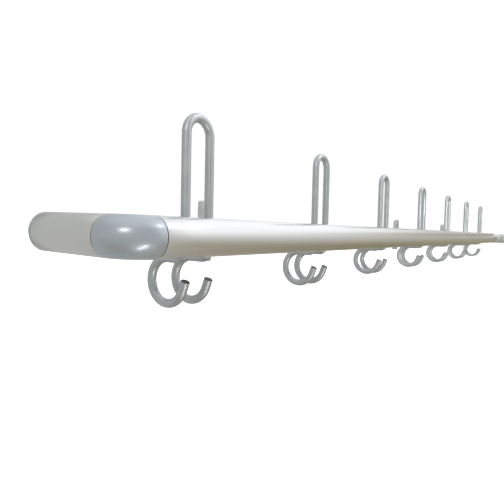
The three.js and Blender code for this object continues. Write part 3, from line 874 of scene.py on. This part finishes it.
screw = pan_screw()
names, offs, turns, nodes = [], [], [], []
for i in range(4):
    for tag, z in (("a", BRK_UP + 29), ("b", BRK_UP - 29)):
        names.append(f"pan_screw_{i + 1}{tag}")
        nodes.append(f"wall_screw_{i + 1}{tag}")
        if i < 3:
            offs.append((BR[i], WALL_D, z))
            turns.append(Matrix.Rotation(math.radians((17, 52, 8, 71, 33, 64)[(2 * i + (tag == "b")) % 6]), 4, "Y"))
        else:
            offs.append((SIDE_X + WALL_D, -SIDE_BRACKET, z))
            turns.append(TURN @ Matrix.Rotation(math.radians(25 if tag == "a" else 58), 4, "Y"))
copies(screw, names, offs, "zinc", nodes=nodes, turn=turns)

# foot screw, inside the foot's pocket
fs = [(0.5, -8.49), (2.4, -8.2), (3.6, -7.5), (4.4, -6.6), (4.6, -6.3), (4.6, -5.5), (2.1, -5.5), (2.1, -GAP)]
ob = finish_mesh("foot_pan_screw", lathe(fs, (NOSE - 2, WALL_D, 0), segs=48), [MAT_ZINC])
to_world(ob)
place(ob, "foot_screw", "zinc")

# ---------------------------------------------------------------- camera
YAW, PITCH_A, ROLL, FPX = math.radians(54.0932), math.radians(-3.4053), math.radians(2.2438), 449.13
fw = Vector((math.sin(YAW) * math.cos(PITCH_A), math.cos(YAW) * math.cos(PITCH_A), math.sin(PITCH_A)))
right = Vector((math.cos(YAW), -math.sin(YAW), 0))
up = right.cross(fw)
r2 = right * math.cos(ROLL) + up * math.sin(ROLL)
u2 = -right * math.sin(ROLL) + up * math.cos(ROLL)
cam_data = bpy.data.cameras.new("camera")
cam_data.sensor_width = 36.0
cam_data.lens = FPX / 504 * 36.0
cam_data.clip_start = 0.02
cam_data.clip_end = 60
cam = bpy.data.objects.new("camera", cam_data)
scene.collection.objects.link(cam)
loc = P(-206.997, -262.287, 13.1075)
m = Matrix((r2, u2, -fw)).transposed().to_4x4()
m.translation = loc
cam.matrix_world = m
scene.camera = cam

# ---------------------------------------------------------------- floor
bm = bmesh.new()
z_floor = -1.25
rings = []
for r in (0.0, 2.0, 6.0, 14.0, 40.0):
    rings.append(r)
n = 64
prev = None
c = bm.verts.new((0, 0, z_floor))
for r in rings[1:]:
    ring = [bm.verts.new((r * math.cos(2 * math.pi * i / n), r * math.sin(2 * math.pi * i / n), z_floor)) for i in range(n)]
    for i in range(n):
        j = (i + 1) % n
        if prev is None:
            bm.faces.new((c, ring[i], ring[j]))
        else:
            bm.faces.new((prev[i], ring[i], ring[j], prev[j]))
    prev = ring
fm, nt, b = new_mat("floor_pale")
b.inputs["Roughness"].default_value = 0.85
nz = noise(nt, coords(nt, (1, 1, 1)), 3.0, 3.0, 0.5)
nt.links.new(ramp(nt, nz, [(0.3, (0.93, 0.93, 0.925)), (0.7, (0.96, 0.96, 0.955))]), b.inputs["Base Color"])
b.inputs["Emission Color"].default_value = (1, 1, 1, 1)
b.inputs["Emission Strength"].default_value = 0.9
floor = finish_mesh("floor", bm, [fm])
floor.visible_glossy = False
floor.visible_diffuse = False


# ---------------------------------------------------------------- light
def area(name, target, direction, dist, size, power, color=(1, 1, 1), size_y=None, roll=0.0, spread=180.0):
    li = bpy.data.lights.new(name, "AREA")
    li.energy = power
    li.color = color
    li.size = size
    if size_y:
        li.shape = "RECTANGLE"
        li.size_y = size_y
    ob = bpy.data.objects.new(name, li)
    scene.collection.objects.link(ob)
    d = Vector(direction).normalized()
    ob.location = Vector(target) + d * dist
    ob.rotation_mode = "QUATERNION"
    ob.rotation_quaternion = d.to_track_quat("Z", "Y") @ Quaternion((0, 0, 1), math.radians(roll))
    li.spread = math.radians(spread)
    return ob


world = bpy.data.worlds.new("studio")
scene.world = world
world.use_nodes = True
wt = world.node_tree
bg = next(n for n in wt.nodes if n.type == "BACKGROUND")
wout = next(n for n in wt.nodes if n.type == "OUTPUT_WORLD")
tc = wt.nodes.new("ShaderNodeTexCoord")
sep = wt.nodes.new("ShaderNodeSeparateXYZ")
wt.links.new(tc.outputs["Generated"], sep.inputs[0])
X, Y, Z = sep.outputs[0], sep.outputs[1], sep.outputs[2]
# azimuth 0 looks along +Y and 90 along +X: a tall bright window wall on the +X side above
# the horizon, a darker warm floor under it, even grey everywhere else
azim = maprange(wt, math_node(wt, "ARCTAN2", X, Y), 0.0, 1.0, -math.pi, math.pi)
hz = maprange(wt, Z, 0.0, 1.0, -1.0, 1.0)


def az(deg):
    return (deg + 180.0) / 360.0


def el(deg):
    return (math.sin(math.radians(deg)) + 1.0) / 2.0


G = lambda v: (v, v, v)
side = ramp(wt, azim, [(az(22), G(0)), (az(48), G(0.52)), (az(62), G(0.80)), (az(78), G(1)), (az(146), G(1)), (az(166), G(0))])
polar = ramp(wt, hz, [(el(-78), G(0)), (el(-62), G(1)), (el(58), G(1)), (el(74), G(0))])
w = math_node(wt, "MULTIPLY", side, polar)
# the window's sill stands higher straight along +X
sill = ramp(wt, azim, [(az(62), G(0)), (az(74), G(1)), (az(99), G(1)), (az(117), G(0))])
low_sill = ramp(wt, hz, [(el(-70), (0.42, 0.40, 0.36)), (el(-42), (0.43, 0.40, 0.33)), (el(-25), (0.40, 0.375, 0.295)), (el(-10), (0.56, 0.555, 0.51)),
                         (el(0), (0.70, 0.70, 0.68)), (el(10), (0.91, 0.915, 0.91)), (el(20), (1.16, 1.175, 1.21)), (el(60), (1.18, 1.19, 1.23))])
high_sill = ramp(wt, hz, [(el(-70), (0.42, 0.40, 0.36)), (el(-42), (0.38, 0.35, 0.28)), (el(-22), (0.27, 0.24, 0.155)), (el(-9), (0.37, 0.335, 0.235)), (el(-4), (0.35, 0.325, 0.235)),
                          (el(1), (0.32, 0.30, 0.21)), (el(13), (0.27, 0.26, 0.19)), (el(17.5), (0.88, 0.89, 0.89)), (el(23), (1.18, 1.19, 1.23)), (el(32), (1.26, 1.27, 1.31)), (el(60), (1.18, 1.19, 1.23))])
win = mix_color(wt, sill, low_sill, high_sill)
room = ramp(wt, hz, [(el(-90), (0.46, 0.47, 0.46)), (el(-62), (0.44, 0.45, 0.44)), (el(-42), (0.53, 0.535, 0.525)), (el(0), (0.525, 0.535, 0.52)),
                     (el(42), (0.53, 0.54, 0.535)), (el(62), (0.82, 0.83, 0.84)), (el(90), (0.90, 0.91, 0.92))])
# warm, darker floor below the horizon toward the side rail's view of the room
left = ramp(wt, azim, [(az(-142), G(0)), (az(-118), G(1)), (az(-66), G(1)), (az(-48), G(0))])
low = ramp(wt, hz, [(el(-90), (0.33, 0.30, 0.25)), (el(-62), (0.35, 0.325, 0.27)), (el(-38), (0.41, 0.385, 0.33)), (el(-16), (0.50, 0.495, 0.465)),
                    (el(-4), (0.56, 0.565, 0.55)), (el(24), (0.56, 0.57, 0.56)), (el(42), (0.53, 0.54, 0.535)), (el(62), (0.82, 0.83, 0.84)), (el(90), (0.90, 0.91, 0.92))])
room = mix_color(wt, left, room, low)
env = mix_color(wt, w, room, win)
wt.links.new(env, bg.inputs["Color"])
bg.inputs["Strength"].default_value = 1.0
white = wt.nodes.new("ShaderNodeBackground")
white.inputs["Color"].default_value = (1, 1, 1, 1)
white.inputs["Strength"].default_value = 1.05
lp = wt.nodes.new("ShaderNodeLightPath")
mx = wt.nodes.new("ShaderNodeMixShader")
wt.links.new(lp.outputs["Is Camera Ray"], mx.inputs["Fac"])
wt.links.new(bg.outputs[0], mx.inputs[1])
wt.links.new(white.outputs[0], mx.inputs[2])
wt.links.new(mx.outputs[0], wout.inputs["Surface"])


def toward(azimuth, elevation):
    a, e = math.radians(azimuth), math.radians(elevation)
    return (math.sin(a) * math.cos(e), math.cos(a) * math.cos(e), math.sin(e))


CAP = P(12, 12, 0)
area("strip_front", CAP, toward(-118, 34), 2.6, 0.62, 7.5, (1.0, 0.99, 1.0), 0.26, roll=8)
area("strip_low", CAP, toward(-168, -46), 1.2, 0.62, 1.55, (1.0, 1.0, 1.0), 0.13, roll=64)
area("strip_right", CAP, toward(134, 47), 2.4, 0.34, 3.0, (1.0, 1.0, 1.0), 0.28)
area("far_hooks", P(1140, 30, 60), toward(-128, 9), 3.0, 0.6, 0.34, (0.98, 1.0, 1.0), 0.6, spread=11)

scene.view_settings.view_transform = "Standard"
scene.view_settings.look = "None"
